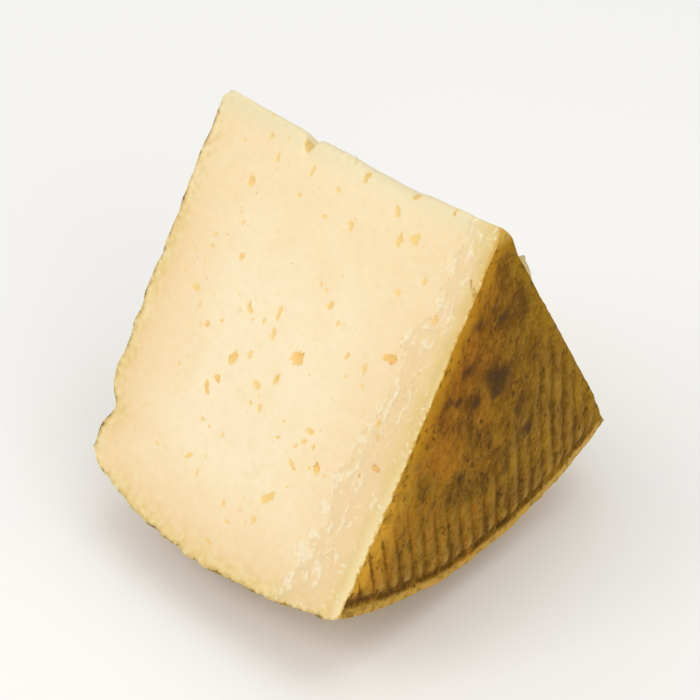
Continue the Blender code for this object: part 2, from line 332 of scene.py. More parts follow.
def chip(x, radius):
    """1 on a broad pale chip of curd and 0 beside it, with a ragged outline."""
    found = 0.0
    for one in CHIPS:
        across, along = x / MM - one.x, radius / MM - one.radius
        if abs(across) + abs(along) < 2 * one.length:
            out = float(ellipse(across, along, one.length, one.width, math.radians(one.turn)))
            found = max(found, 1.0 - smooth(out + uneven(CHIP_RAGGED, x, radius), *CHIP_EDGE))
    return found


tear_in = past_tear(HALF_HEIGHT, 40 * MM) / MM
print("40 mm from the tip the tear is", round(tear_in, 1), "mm from the near face")

# %% Height of a cut
Lump = namedtuple("Lump", "from_face radius size stretch height")
# The first three make a flake of dried curd that stands up at the edge near the tip
LUMPS_ON_HIDDEN_CUT = (
    Lump(2.7, 17.9, 1.4, 1.2, 2.2), Lump(2.6, 20.8, 1.5, 1.5, 2.2), Lump(2.5, 24.2, 1.4, 1.7, 1.6),
    Lump(0.0, 5.0, 3.4, 1.2, 0.7), Lump(0.0, 92.0, 6.0, 1.5, -0.5),
)
LUMPINESS = Waves(0.3, 1.8 * MM, 27)


def cut_height(x, radius, side):
    """How far a cut stands from its plane. It is level at the thin tip, so the two never meet."""
    away = smooth(radius, WAVES_START, WAVES_FULL)
    height = uneven(CUT_WAVES, x, radius + side * HALF_HEIGHT)
    if side < 0:
        return away * (height + CHIP_HEIGHT * chip(x, radius))
    height *= away
    for lump in LUMPS_ON_HIDDEN_CUT:
        across = (x - HALF_HEIGHT) / MM + lump.from_face
        along = (radius / MM - lump.radius) / lump.stretch
        lumpy = 1.0 + uneven(LUMPINESS, x, radius)
        height += lump.height * MM * bell(math.hypot(across, along), lump.size) * lumpy
    return height


print("shown cut 40 mm down, mm:", round(cut_height(0.0, 40 * MM, -1) / MM, 3))

# %% [markdown]
# ## Node trees, and one helper that adds a node
#
# A node tree is code too: nodes are added, given their settings, and linked. One small helper does
# that. Its inputs are a list, in the order that the node shows them, and each is either a value or
# another node's output. A shape that a tree makes is turned into a plain mesh at the end, with its
# modifier gone.


# %% Helpers for node trees
def add(tree, kind, inputs=(), output=None, **settings):
    """Adds one node with its settings and links. Gives back its first output, or the named one."""
    node = tree.nodes.new(kind)
    for name, value in settings.items():
        setattr(node, name, value)
    for socket, value in zip([s for s in node.inputs if s.enabled], inputs):
        if isinstance(value, bpy.types.NodeSocket):
            tree.links.new(value, socket)
        elif value is not None:
            socket.default_value = value
    if isinstance(output, str):
        return node.outputs[output]
    return next((s for s in node.outputs if s.enabled), None)


def new_tree(name, sizes):
    """A geometry node tree with a geometry input, and named inputs for its sizes."""
    tree = bpy.data.node_groups.new(name, "GeometryNodeTree")
    tree.interface.new_socket("Geometry", in_out="INPUT", socket_type="NodeSocketGeometry")
    for label, value in sizes.items():
        kind = "NodeSocketInt" if isinstance(value, int) else "NodeSocketFloat"
        tree.interface.new_socket(label, in_out="INPUT", socket_type=kind)
    tree.interface.new_socket("Geometry", in_out="OUTPUT", socket_type="NodeSocketGeometry")
    return tree, tree.nodes.new("NodeGroupInput").outputs


def settle(obj):
    """Turns what the modifiers make into the object's own plain mesh, without empty material slots."""
    graph = bpy.context.evaluated_depsgraph_get()
    made = obj.evaluated_get(graph)
    mesh = bpy.data.meshes.new_from_object(made, preserve_all_data_layers=True, depsgraph=graph)
    obj.modifiers.clear()
    obj.data = mesh
    while None in list(mesh.materials):
        mesh.materials.pop(index=list(mesh.materials).index(None))
    return obj


def run_tree(obj, tree, sizes):
    """Runs a node tree on an object: the inputs are set by their identifiers before it is evaluated."""
    modifier = obj.modifiers.new(tree.name, "NODES")
    modifier.node_group = tree
    for item in tree.interface.items_tree:
        if item.in_out == "INPUT" and item.name in sizes:
            modifier[item.identifier] = sizes[item.name]
    return settle(obj)


def new_object(name, mesh):
    obj = bpy.data.objects.new(name, mesh)
    bpy.context.scene.collection.objects.link(obj)
    return obj


def count_triangles(mesh):
    return sum(len(face.vertices) - 2 for face in mesh.polygons)


print("helpers ready for Blender", bpy.app.version_string)


# %% Helpers for materials
def linear(hex_colour):
    """An sRGB colour such as #FBE7C0 as the linear values that a shader takes."""
    parts = [int(hex_colour[i : i + 2], 16) / 255 for i in (1, 3, 5)]
    return (*(c / 12.92 if c <= 0.04045 else ((c + 0.055) / 1.055) ** 2.4 for c in parts), 1.0)


def new_material(name):
    material = bpy.data.materials.new(name)
    material.use_nodes = True
    return material


def shade(material, inputs):
    """Sets inputs of the Principled shader by name, each to a value or to a node's output."""
    tree = material.node_tree
    shader = tree.nodes["Principled BSDF"]
    for name, value in inputs.items():
        if isinstance(value, bpy.types.NodeSocket):
            tree.links.new(value, shader.inputs[name])
        else:
            shader.inputs[name].default_value = value
    return material


def read_marks(tree, *names):
    """What each point of the mesh carries about its own place, by name."""
    marks = [add(tree, "ShaderNodeAttribute", output="Fac", attribute_name=name) for name in names]
    return namedtuple("Marks", names)(*marks)


def paint(tree, ground, coats):
    """Lays coats of colour over a ground. Each coat is a colour, how much of it there is at most,
    and where it goes: any number of values, with where the coat starts and where it is full."""
    colour = linear(ground)
    for hex_colour, share, *places in coats:
        for value, start, full in places:
            rise = [value, start, full, 0.0, 1.0]
            here = add(tree, "ShaderNodeMapRange", rise, interpolation_type="SMOOTHSTEP")
            share = add(tree, "ShaderNodeMath", [here, share], operation="MULTIPLY")
        colour = add(tree, "ShaderNodeMix", [share, colour, linear(hex_colour)], data_type="RGBA")
    return colour


print("cream #FBE7C0 in linear values:", [round(value, 3) for value in linear("#FBE7C0")])

# %% [markdown]
# ## Torn curd, as nodes
#
# Past the tear the curd came off in thin layers, like slate. Each layer ends in a ragged edge that
# runs down the face, and the rim of a layer is so thin that it looks nearly white. Both the shape
# and the colour need that pattern at the same place. Noise gives the same value for the same point
# in a geometry tree and in a shader tree, so one function builds the pattern for both.

# %% The layers past the tear
LAYER_WIDTH = 2.6
LAYERS = 3
TEAR_SWING = 11.0
TEAR_SIZE = 4.2 * MM
TEAR_STRETCH = (1.0, 0.5, 0.5)


def torn_layers(tree, place, past):
    """How many layers are gone at a place (0 to LAYERS), and how close it is to a layer's pale rim."""
    stretched = add(tree, "ShaderNodeVectorMath", [place, TEAR_STRETCH], operation="MULTIPLY")
    ragged = add(tree, "ShaderNodeTexNoise", [stretched, 1 / TEAR_SIZE, 5.0, 0.66])
    swing = add(tree, "ShaderNodeMapRange", [ragged, 0.0, 1.0, -TEAR_SWING / 2, TEAR_SWING / 2])
    gone = add(tree, "ShaderNodeMath", [past, swing])
    gone = add(tree, "ShaderNodeMath", [gone, LAYER_WIDTH], operation="DIVIDE")
    since_edge = add(tree, "ShaderNodeMath", [gone], operation="FRACT")
    whole = add(tree, "ShaderNodeMath", [gone, since_edge], operation="SUBTRACT")
    fallen = add(tree, "ShaderNodeMapRange", [since_edge, 0.0, 0.16, 0.0, 1.0])
    level = add(tree, "ShaderNodeMath", [whole, fallen])
    level = add(tree, "ShaderNodeMapRange", [level, 0.0, LAYERS, 0.0, LAYERS])
    rise = [since_edge, 0.35, 0.98, 0.0, 1.0]
    rim = add(tree, "ShaderNodeMapRange", rise, interpolation_type="SMOOTHSTEP")
    starts = add(tree, "ShaderNodeMapRange", [gone, -0.9, -0.3, 0.0, 1.0])
    ends = add(tree, "ShaderNodeMapRange", [gone, LAYERS - 0.9, LAYERS - 0.3, 1.0, 0.0])
    patches = add(tree, "ShaderNodeTexNoise", [stretched, 1 / (2.2 * MM), 2.0, 0.5])
    shown = add(tree, "ShaderNodeMapRange", [patches, 0.48, 0.58, 0.0, 1.0])
    for part in (starts, ends, shown):
        rim = add(tree, "ShaderNodeMath", [rim, part], operation="MULTIPLY")
    return level, rim


print(LAYERS, "layers, each", LAYER_WIDTH, "mm wide")

# %% [markdown]
# ## Cheese paste, pressed and knife-cut
#
# Aged sheep's milk paste is firm curd, fat and a little water. Light goes a millimetre or two into
# it before it comes back, so it needs some subsurface scattering, and the fat gives a soft gloss.
# It isn't one colour: the heart is cream, towards the rind it dried and darkened through pinkish
# beige to a yellow band, and the last half millimetre is stained by the rind. The widest zones also
# keep a broad band darker as painted shade where the light falls off. Inside an eye the paste is
# painted in shade, a gold that deepens with depth, and a torn scale is nearly white.
#
# Near the tip the knife drew a thin smear of rind into the paste, and the flake on the hidden cut
# dried to a dull greyish brown.
#
# The zones follow the rind, so they could be painted on by hand. Here every point of the mesh
# carries its distance from each rind in millimetres, written in a later cell, and the shader turns
# distance into coats of colour. That stays right whatever the shape does.


# %% The paste material
def paste_material():
    material = new_material("sheep_milk_paste_knife_cut")
    tree = material.node_tree
    place = add(tree, "ShaderNodeTexCoord", output="Object")
    distances = ("to_near", "to_far", "to_rim", "from_tip")
    marks = read_marks(tree, *distances, "eye_depth", "chip", "past_tear", "smear", "raised")
    broad = add(tree, "ShaderNodeTexNoise", [place, 1 / (16 * MM), 2.0, 0.5])
    patchy = add(tree, "ShaderNodeTexNoise", [place, 1 / (5 * MM), 3.0, 0.5])
    chippy = add(tree, "ShaderNodeTexNoise", [place, 1 / (1.8 * MM), 3.0, 0.5])
    flaky = add(tree, "ShaderNodeTexNoise", [place, 1 / (1.1 * MM), 4.0, 0.6])
    crystals = add(tree, "ShaderNodeTexVoronoi", [place, 1 / (2.6 * MM)])
    pinholes = add(tree, "ShaderNodeTexVoronoi", [place, 1 / (6.2 * MM)])
    wavy = add(tree, "ShaderNodeTexNoise", [place, 1 / (1.2 * MM), 2.0, 0.5], output="Color")
    wavy = add(tree, "ShaderNodeVectorMath", [wavy, (2.2 * MM,) * 3], operation="MULTIPLY")
    stretched = [place, (1.0, 0.6, 0.6), wavy]
    ragged = add(tree, "ShaderNodeVectorMath", stretched, operation="MULTIPLY_ADD")
    ghosts = add(tree, "ShaderNodeTexVoronoi", [ragged, 1 / (4.2 * MM)])
    level, rim = torn_layers(tree, place, marks.past_tear)

    # The near rind dried the paste a little deeper than the others did
    to_other = add(tree, "ShaderNodeMath", [marks.to_far, marks.to_rim], operation="MINIMUM")
    to_near = add(tree, "ShaderNodeMath", [marks.to_near, 0.8], operation="MULTIPLY")
    depth = add(tree, "ShaderNodeMath", [to_other, to_near, 4.0], operation="SMOOTH_MIN")
    depth = add(tree, "ShaderNodeMath", [patchy, 2.4, depth], operation="MULTIPLY_ADD")
    wavering = add(tree, "ShaderNodeMath", [patchy, 3.0, marks.to_near], operation="MULTIPLY_ADD")

    away = (marks.from_tip, 3.0, 6.0)
    stained = add(tree, "ShaderNodeMath", [chippy, 2.4, to_other], operation="MULTIPLY_ADD")
    fringe = add(tree, "ShaderNodeMath", [flaky, 1.8, marks.to_near], operation="MULTIPLY_ADD")
    fringe = add(tree, "ShaderNodeMath", [chippy, 1.2, fringe], operation="MULTIPLY_ADD")
    coats = (
        # From the rind to the heart
        ("#EAD092", 1.0, (depth, 1.6, 3.4)),
        ("#EED19C", 1.0, (depth, 3.4, 5.8)),
        ("#F2D7A8", 1.0, (depth, 5.6, 9.8)),
        # These two also keep a broad band darker: painted shade where the light falls off
        ("#F5DCB0", 1.0, (depth, 9.0, 15.0)),
        ("#FAE6C0", 1.0, (depth, 13.0, 27.0)),
        # Patches and grain of the curd
        ("#F5DFB2", 0.6, (marks.from_tip, 46.0, 14.0)),
        ("#F5DBAC", 0.4, (broad, 0.48, 0.66)),
        ("#F1D9AA", 0.2, (patchy, 0.48, 0.34)),
        ("#FFF3D6", 0.12, (chippy, 0.50, 0.70)),
        ("#F0CE96", 0.16, (chippy, 0.48, 0.30)),
        ("#EFE2B2", 0.3, (chippy, 0.50, 0.68), (to_other, 6.0, 2.0)),
        ("#DDB868", 0.35, (chippy, 0.50, 0.34), (to_other, 6.0, 2.0)),
        # Painted highlight along the rounded tip edge; paste dried near the tip and along the near rind
        ("#E8DDB2", 0.8, (marks.from_tip, 8.0, 0.8)),
        ("#EACC9A", 0.5, (level, 0.0, 1.0), (marks.to_near, 2.5, 6.0)),
        ("#DFC283", 0.55, (wavering, 7.0, 3.6)),
        ("#E3C983", 0.6, (marks.from_tip, 10.0, 5.0), (marks.to_near, 7.5, 4.0)),
        ("#D9B96C", 0.5, (wavering, 4.5, 2.5), (marks.from_tip, 60.0, 30.0)),
        ("#F0E2AC", 0.45, (wavering, 3.2, 1.9), (marks.from_tip, 20.0, 45.0)),
        ("#F2E3B0", 0.6, (wavering, 5.0, 2.5), (marks.from_tip, 50.0, 85.0)),
        # Flakes, torn layers and chips
        ("#F4C98A", 0.5, (flaky, 0.37, 0.28), (depth, 7.0, 12.0), (broad, 0.42, 0.55)),
        ("#FAF0D4", 0.5, (flaky, 0.54, 0.68), (patchy, 0.48, 0.56), (level, 0.3, 1.0)),
        ("#FAF0D4", 0.55, (rim, 0.1, 1.0)),
        ("#F9ECCD", 0.5, (marks.chip, 0.2, 0.9)),
        # Crystals and pinholes, then painted shade in the eyes
        ("#FFF6DE", 0.4, (crystals, 0.07, 0.03)),
        ("#EFBE78", 0.8, (pinholes, 0.055, 0.03)),
        ("#F2C886", 0.5, (ghosts, 0.17, 0.10), (patchy, 0.50, 0.55)),
        # Painted shade in the eyes: more orange the deeper they are, and olive on the walls by the tip
        ("#F7D48A", 1.0, (marks.eye_depth, 0.02, 0.12)),
        ("#F6CC78", 0.8, (marks.eye_depth, 0.15, 0.6)),
        ("#E0C07C", 0.8, (marks.eye_depth, 0.03, 0.2), (marks.from_tip, 7.0, 4.0)),
        # What the rind stained, the smear and the flake
        ("#C9AE62", 0.7, (stained, 2.3, 1.5), away),
        ("#665220", 0.8, (stained, 1.52, 1.18), away, (patchy, 0.42, 0.50)),
        ("#CCA84C", 0.8, (marks.to_near, 1.4, 0.3), (marks.from_tip, 14.0, 6.0)),
        ("#D6AA44", 0.7, (fringe, 2.15, 1.7)),
        ("#B07E20", 0.65, (fringe, 1.8, 1.45)),
        ("#BE9634", 0.85, (marks.smear, 0.35, 0.75)),
        ("#BAA668", 0.85, (marks.raised, 0.6, 1.4)),
    )

    # The relief that is too fine for the mesh: grain of the curd, then the edges of the torn layers
    curd = add(tree, "ShaderNodeTexNoise", [place, 1 / (0.7 * MM), 4.0, 0.6])
    bump = add(tree, "ShaderNodeBump", [0.4, 0.1 * MM, None, curd])
    inputs = {
        "Base Color": paint(tree, "#E2C683", coats),
        "Normal": add(tree, "ShaderNodeBump", [0.7, -0.06 * MM, None, level, bump]),
        "Roughness": add(tree, "ShaderNodeMapRange", [patchy, 0.3, 0.7, 0.38, 0.52]),
        "IOR": 1.45,
        "Specular IOR Level": 0.35,
        "Subsurface Weight": 0.22,
        "Subsurface Radius": (1.0, 0.62, 0.30),
        "Subsurface Scale": 2.2 * MM,
    }
    return shade(material, inputs)


PASTE = paste_material()
print(PASTE.name, "has", len(PASTE.node_tree.nodes), "nodes")

# %% [markdown]
# ## Washed rind, pressed and aged
#
# The rind is dried curd stained by months of washing and mould. It is matte and waxy, so the gloss
# is low. The eye finds several scales in it: patches of orange and olive brown a centimetre wide,
# streaks along the ridges, dark mould in the valleys, purple-brown stains, and pits like pin pricks.
# On top of that the crests carry a painted highlight and the valleys painted shade. The lip at the
# wheel's edge was rubbed paler, the trough beside it is painted in shade, and along the knife cuts
# the rind glows orange because light comes through the paste behind it.


# %% The rind material
def rind_material():
    material = new_material("washed_rind_board_pressed")
    tree = material.node_tree
    place = add(tree, "ShaderNodeTexCoord", output="Object")
    distances = ("to_cut", "from_tip", "inward")
    marks = read_marks(tree, *distances, "ridge_line", "ridge_strength", "trough", "stain", "plait")
    along = add(tree, "ShaderNodeVectorMath", [place, (1.0, 1.0, 0.45)], operation="MULTIPLY")
    across = add(tree, "ShaderNodeSeparateXYZ", [place], output="Y")
    patches = add(tree, "ShaderNodeTexNoise", [place, 1 / (14 * MM), 2.0, 0.5])
    tone = add(tree, "ShaderNodeTexNoise", [along, 1 / (4.5 * MM), 6.0, 0.6])
    streaks = add(tree, "ShaderNodeTexNoise", [along, 1 / (1.5 * MM), 4.0, 0.6])
    clouds = add(tree, "ShaderNodeTexNoise", [place, 1 / (3.2 * MM), 6.0, 0.65])
    fine = add(tree, "ShaderNodeTexNoise", [place, 1 / (0.9 * MM), 4.0, 0.65])
    pricks = add(tree, "ShaderNodeTexVoronoi", [along, 1 / (2.1 * MM)])
    pricks = add(tree, "ShaderNodeMath", [fine, 0.9, pricks], operation="MULTIPLY_ADD")
    pricked = add(tree, "ShaderNodeTexNoise", [place, 1 / (6 * MM), 2.0, 0.5])
    half_turns = add(tree, "ShaderNodeMath", [marks.ridge_line, math.pi], operation="MULTIPLY")
    crest = add(tree, "ShaderNodeMath", [half_turns], operation="SINE")
    crest = add(tree, "ShaderNodeMath", [crest], operation="ABSOLUTE")
    crest = add(tree, "ShaderNodeMath", [clouds, 1.2, crest], operation="MULTIPLY_ADD")
    fray = add(tree, "ShaderNodeMath", [clouds, -3.0, marks.to_cut], operation="MULTIPLY_ADD")
    lip = add(tree, "ShaderNodeMath", [clouds, 2.4, marks.inward], operation="MULTIPLY_ADD")
    blot = add(tree, "ShaderNodeMath", [clouds, 2.6, marks.stain], operation="MULTIPLY_ADD")
    blot = add(tree, "ShaderNodeMath", [fine, 1.4, blot], operation="MULTIPLY_ADD")
    ridged = (marks.ridge_strength, 0.0, 1.0)
    valley = add(tree, "ShaderNodeMapRange", [crest, 1.45, 0.75, 0.0, 1.0])
    valley = add(tree, "ShaderNodeMath", [valley, marks.ridge_strength], operation="MULTIPLY")

    # The trough by the lip is painted in shade, weaker far across the face
    dark = ((marks.trough, 0.40, 1.0), (clouds, 0.36, 0.56), (across, 36 * MM, 8 * MM))
    glowing = ((across, 2 * MM, -2 * MM), (marks.inward, 6.0, 8.5), (valley, 1.0, 0.25))
    low = ((marks.from_tip, 48.0, 70.0), (fray, 10.5, -1.4))
    coats = (
        # Wide zones, then patches and tones
        ("#90580E", 0.9, (marks.from_tip, 70.0, 36.0)),
        ("#735012", 0.85, (across, -12 * MM, 4 * MM)),
        ("#A4681A", 0.6, (patches, 0.48, 0.62), (across, 10 * MM, -6 * MM)),
        ("#967118", 0.6, (patches, 0.48, 0.62), (across, -6 * MM, 10 * MM)),
        ("#5E4010", 0.5, (patches, 0.50, 0.36)),
        ("#B0761A", 0.6, (tone, 0.51, 0.66), (across, 10 * MM, -6 * MM)),
        ("#A27A1A", 0.6, (tone, 0.51, 0.66), (across, -6 * MM, 10 * MM)),
        ("#583A10", 0.6, (tone, 0.50, 0.34)),
        # Crests in painted highlight, valleys in mould and painted shade, the trough in painted shade
        ("#A88034", 0.45, (crest, 1.15, 1.65), ridged),
        ("#54380A", 0.6, (crest, 1.15, 0.6), ridged),
        ("#BC9A52", 0.4, (crest, 1.3, 1.7), ridged, (marks.inward, 12.0, 8.0)),
        ("#4A3009", 0.85, *dark),
        # Streaks and stains
        ("#B08030", 0.35, (streaks, 0.52, 0.70)),
        ("#4A300C", 0.45, (streaks, 0.47, 0.32)),
        ("#44301C", 0.78, (blot, 2.15, 3.05)),
        # The lip, and the strands on the rim
        ("#CBA14A", 0.85, (lip, 5.6, 4.4)),
        ("#8E6C26", 0.5, (lip, 5.6, 4.4), (clouds, 0.54, 0.40)),
        ("#DDB45E", 0.3, (lip, 5.6, 4.4), (across, 15 * MM, 38 * MM)),
        ("#6E4C1C", 0.6, (marks.plait, 0.55, 0.05), (marks.inward, 0.2, -1.0)),
        # The glow along the cuts, and the tip
        ("#C08A1C", 0.85, (fray, 5.0, -1.4), (tone, 0.30, 0.46), *glowing),
        ("#D29C30", 0.9, (tone, 0.24, 0.44), *low, *glowing),
        ("#7A4E16", 0.55, (clouds, 0.52, 0.38), *low),
        ("#A07812", 0.7, (fray, 3.0, -1.4), (across, -2 * MM, 2 * MM)),
        ("#B5841F", 0.5, (marks.from_tip, 9.0, 4.0)),
        ("#D6B054", 0.85, (marks.from_tip, 5.5, 1.5)),
        # Specks, nicks and pricks
        ("#C08C38", 0.35, (fine, 0.54, 0.70), (blot, 2.9, 2.4)),
        ("#38240C", 0.65, (fine, 0.47, 0.34), (clouds, 0.56, 0.44)),
        ("#33230C", 0.5, (marks.to_cut, 1.8, 0.5), (streaks, 0.52, 0.62)),
        ("#3A250E", 0.6, (pricks, 0.72, 0.54), (pricked, 0.44, 0.56)),
    )

    skin = add(tree, "ShaderNodeTexNoise", [place, 1 / (0.7 * MM), 4.0, 0.6])
    bump = add(tree, "ShaderNodeBump", [0.4, 0.10 * MM, None, skin])
    open_pricks = add(tree, "ShaderNodeMapRange", [pricks, 0.50, 0.66, 0.0, 1.0])
    inputs = {
        "Base Color": paint(tree, "#8C6617", coats),
        "Normal": add(tree, "ShaderNodeBump", [0.5, 0.12 * MM, None, open_pricks, bump]),
        "Roughness": add(tree, "ShaderNodeMapRange", [fine, 0.3, 0.7, 0.48, 0.68]),
        "IOR": 1.4,
        "Specular IOR Level": 0.04,
        "Subsurface Weight": 0.12,
        "Subsurface Radius": (1.0, 0.55, 0.20),
        "Subsurface Scale": 0.7 * MM,
    }
    return shade(material, inputs)


RIND = rind_material()
print(RIND.name, "has", len(RIND.node_tree.nodes), "nodes")

# %% [markdown]
# ## The block that becomes the wedge
#
# The wedge is a block that was bent: one side of a box becomes the near face, the opposite side the
# far face, two sides become the knife cuts, the top becomes the rim and the bottom shrinks to the
# rounded tip edge. So the body starts as a box with a fine grid on every side, which a node tree
# makes from three counts. Each grid point is then moved to its place on the wheel. A closed box
# stays closed, whatever it is bent into.

# %% Make the block
BLOCK_CELLS = {"Cells along": 210, "Cells round": 250, "Cells outwards": 260}
ON_A_SIDE = 0.9999
BROKEN_CORNER = -1.94  # the place along plus the place outwards, at the edge of what broke off


def block_tree():
    """A closed box from -1 to 1, whose rind sides carry a mark and the rind material. The far end
    of the tip edge is broken off, so there the paste shows instead."""
    tree, given = new_tree("cheese_block", BLOCK_CELLS)
    counts = [add(tree, "ShaderNodeMath", [given[name], 1.0]) for name in BLOCK_CELLS]
    box = add(tree, "GeometryNodeMeshCube", [(2.0, 2.0, 2.0), *counts])
    place = add(tree, "GeometryNodeInputPosition")
    along = add(tree, "ShaderNodeSeparateXYZ", [place], output="X")
    outwards = along.node.outputs["Z"]
    farthest = add(tree, "ShaderNodeMath", [along], operation="ABSOLUTE")
    farthest = add(tree, "ShaderNodeMath", [farthest, outwards], operation="MAXIMUM")
    rind = add(tree, "ShaderNodeMath", [farthest, ON_A_SIDE], operation="GREATER_THAN")
    broken = add(tree, "ShaderNodeMath", [along, outwards])
    unbroken = add(tree, "ShaderNodeMath", [broken, BROKEN_CORNER], operation="GREATER_THAN")
    rind = add(tree, "ShaderNodeMath", [rind, unbroken], operation="MULTIPLY")
    mark = [box, True, "rind", rind]
    marked = add(tree, "GeometryNodeStoreNamedAttribute", mark, data_type="FLOAT", domain="FACE")
    whole = add(tree, "GeometryNodeRealizeInstances", [marked])
    inside = add(tree, "GeometryNodeSetMaterial", [whole, True, PASTE])
    add(tree, "NodeGroupOutput", [add(tree, "GeometryNodeSetMaterial", [inside, rind, RIND])])
    return tree


body = new_object("cheese_wedge_body", bpy.data.meshes.new("block"))
run_tree(body, block_tree(), BLOCK_CELLS)
print("block:", len(body.data.vertices), "points,", len(body.data.polygons), "faces")


# %% Bend the block into the wedge
def cut_normal(side):
    return Vector((0.0, side * math.cos(HALF_ANGLE), math.sin(HALF_ANGLE)))


def wheel_point(x, radius, angle):
    return Vector((x, radius * math.sin(angle), TIP_HEIGHT - radius * math.cos(angle)))


def wedge_point(u, v, w):
    """u runs from the far to the near face, v across the angle, and w from the tip edge outwards."""
    angle = v * HALF_ANGLE
    level_x = u * HALF_HEIGHT
    inner = tip_radius(level_x, angle)
    radius = inner + (rim_radius(level_x, angle) - inner) * (w + 1) / 2
    far = -face_height(FAR_FACE, radius, angle)
    near = face_height(NEAR_FACE, radius, angle)
    x = far + (near - far) * (u + 1) / 2
    point = wheel_point(x, radius, angle)
    if abs(v) > ON_A_SIDE:
        side = math.copysign(1.0, v)
        point += cut_normal(side) * cut_height(x, radius, side)
    return point


def read_points(mesh):
    points = np.empty(3 * len(mesh.vertices), np.float32)
    mesh.vertices.foreach_get("co", points)
    return points.reshape(-1, 3).astype(float)


def write_points(mesh, points):
    mesh.vertices.foreach_set("co", np.asarray(points, np.float32).ravel())
    mesh.update()


points = np.array([wedge_point(*place) for place in read_points(body.data)])
WHEEL_MIDDLE = -(points[:, 0].min() + points[:, 0].max()) / 2
points[:, 0] += WHEEL_MIDDLE
write_points(body.data, points)
print("wedge, mm:", np.round((points.max(0) - points.min(0)) / MM, 1))


def on_wheel(point):
    """The way back: a point's place along the axis, its distance from it and its angle."""
    y, down = point[1], TIP_HEIGHT - point[2]
    return point[0] - WHEEL_MIDDLE, math.hypot(y, down), math.atan2(y, down)


print("the rim's lowest point lies at", [round(float(value), 3) for value in on_wheel((0.0, 0.0, 0.0))])

# %% [markdown]
# ## The skin of the rind
#
# Between the ridges the rind is still rough: soft lumps a few millimetres wide, and pits where
# mould was brushed off. They are too deep for bump alone, because they break the outline and catch
# shadow. A node tree moves the points of the rind along their normals by a noise for the lumps and
# by a cell pattern for the pits. The knife cuts keep a trace of grain, and the torn layers step
# down one by one.
#
# Where the wedge rests, its weight pressed the rim flat, so nothing goes below the table.

# %% Roughen the rind and tear the layers
SKIN = {
    "Lump size": 2.6 * MM,
    "Lump height": 0.12 * MM,
    "Pit spacing": 3.4 * MM,
    "Pit depth": 0.16 * MM,
    "Grain size": 1.1 * MM,
    "Grain height": 0.05 * MM,
    "Layer height": 0.10 * MM,
    "Rim height": 0.12 * MM,
}


def skin_tree():
    tree, given = new_tree("skin_of_the_rind", SKIN)
    place = add(tree, "GeometryNodeInputPosition")
    rind = add(tree, "GeometryNodeInputNamedAttribute", ["rind"], data_type="FLOAT")
    past = add(tree, "GeometryNodeInputNamedAttribute", ["past_tear"], data_type="FLOAT")
    strength = add(tree, "GeometryNodeInputNamedAttribute", ["tear_strength"], data_type="FLOAT")
    level, rim = torn_layers(tree, place, past)
    lump_scale, pit_scale, grain_scale = (
        add(tree, "ShaderNodeMath", [1.0, given[name]], operation="DIVIDE")
        for name in ("Lump size", "Pit spacing", "Grain size")
    )
    lump = add(tree, "ShaderNodeTexNoise", [place, lump_scale, 2.0, 0.5])
    cell = add(tree, "ShaderNodeTexVoronoi", [place, pit_scale])
    grain = add(tree, "ShaderNodeTexNoise", [place, grain_scale, 1.0, 0.5])
    pit = [cell, 0.10, 0.26, -1.0, 0.0]
    hollow = add(tree, "ShaderNodeMapRange", pit, interpolation_type="SMOOTHSTEP")
    lumps = add(tree, "ShaderNodeMapRange", [lump, 0.25, 0.75, -1.0, 1.0])
    grains = add(tree, "ShaderNodeMapRange", [grain, 0.25, 0.75, -1.0, 1.0])
    height = add(tree, "ShaderNodeMath", [lumps, given["Lump height"]], operation="MULTIPLY")
    height = add(tree, "ShaderNodeMath", [hollow, given["Pit depth"], height], operation="MULTIPLY_ADD")
    height = add(tree, "ShaderNodeMath", [height, rind], operation="MULTIPLY")
    grained = [grains, given["Grain height"], height]
    height = add(tree, "ShaderNodeMath", grained, operation="MULTIPLY_ADD")
    torn = add(tree, "ShaderNodeMath", [rim, given["Rim height"]], operation="MULTIPLY")
    fallen = add(tree, "ShaderNodeMath", [level, given["Layer height"]], operation="MULTIPLY")
    torn = add(tree, "ShaderNodeMath", [torn, fallen], operation="SUBTRACT")
    height = add(tree, "ShaderNodeMath", [torn, strength, height], operation="MULTIPLY_ADD")
    normal = add(tree, "GeometryNodeInputNormal")
    offset = add(tree, "ShaderNodeVectorMath", [normal, height], operation="SCALE")
    moved = add(tree, "GeometryNodeSetPosition", [given["Geometry"], True, place, offset])
    whole = add(tree, "GeometryNodeRealizeInstances", [moved])
    inside = add(tree, "GeometryNodeSetMaterial", [whole, True, PASTE])
    outside = add(tree, "ShaderNodeMath", [rind, 0.5], operation="GREATER_THAN")
    add(tree, "NodeGroupOutput", [add(tree, "GeometryNodeSetMaterial", [inside, outside, RIND])])
    return tree


ON_SHOWN_CUT = 0.35 * MM
TEAR_ENDS = (0.4 * MM, 1.6 * MM)  # from the near face


def write_mark(mesh, name, values):
    mesh.attributes.new(name, "FLOAT", "POINT").data.foreach_set("value", np.asarray(values, np.float32))


def tear_strength(x, radius, angle):
    """1 on the shown cut and 0 elsewhere. It fades out at the tip and at the near face."""
    if radius * math.sin(HALF_ANGLE + angle) > ON_SHOWN_CUT:
        return 0.0
    return smooth(radius, WAVES_START, WAVES_FULL) * smooth(HALF_HEIGHT - x, *TEAR_ENDS)


places = [on_wheel(point) for point in points]
write_mark(body.data, "past_tear", [past_tear(x, radius) / MM for x, radius, angle in places])
write_mark(body.data, "tear_strength", [tear_strength(*place) for place in places])
run_tree(body, skin_tree(), SKIN)
for name in ("past_tear", "tear_strength"):
    body.data.attributes.remove(body.data.attributes[name])
points = read_points(body.data)
points[:, 2] = np.maximum(points[:, 2], 0.0)
write_points(body.data, points)
kinds = [body.data.materials[face.material_index].name for face in body.data.polygons]
resting = int((points[:, 2] == 0).sum())
print({name: kinds.count(name) for name in set(kinds)}, "resting points:", resting)

